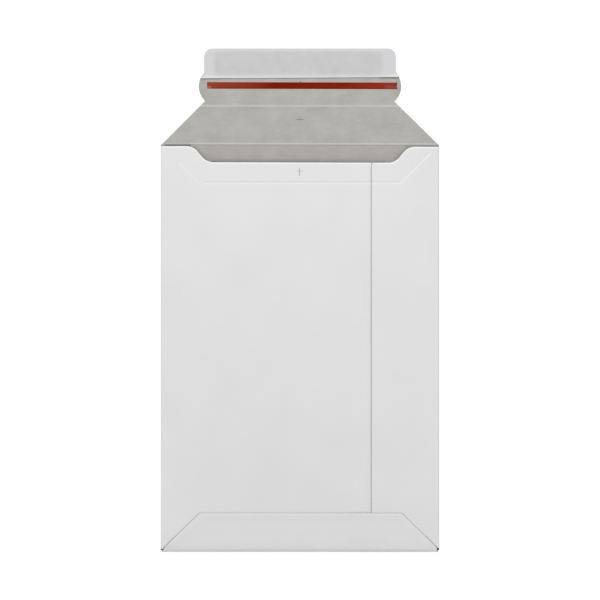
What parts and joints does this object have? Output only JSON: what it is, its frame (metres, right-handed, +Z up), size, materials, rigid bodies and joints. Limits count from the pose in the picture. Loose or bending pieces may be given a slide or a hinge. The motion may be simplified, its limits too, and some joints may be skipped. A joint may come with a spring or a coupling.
{
  "type": "cardboard envelope",
  "caption": "Flat solid-board mailing envelope with a lapped back, thumb-notched mouth and open self-seal flap with red tear tape and release liner.",
  "frame": {"origin": "centre of the front panel's outer face, which lies on the table", "axes": "+X across the envelope to the right as the back is looked at, +Y from the foot towards the closing flap, +Z up out of the back"},
  "size_m": [0.24, 0.434, 0.0062],
  "materials": {
    "white_board": "smooth white outside, satin",
    "grey_board": "uncoated grey inside, matt",
    "red_film": "glossy film",
    "adhesive": "clear tacky film",
    "liner_paper": "silicone-coated white paper"
  },
  "bodies": {
    "envelope": {"envelope_body": "white_board"},
    "flap": {"closing_flap": "grey_board", "tear_tape": "red_film", "adhesive_strip": "adhesive", "release_liner": "liner_paper"}
  },
  "joints": [
    {"name": "flap_fold", "type": "hinge", "parent": "envelope", "child": "flap", "pos_m": [0, 0.1755, 0.0039], "axis": [1, 0, 0], "range_deg": [0, 180]}
  ]
}
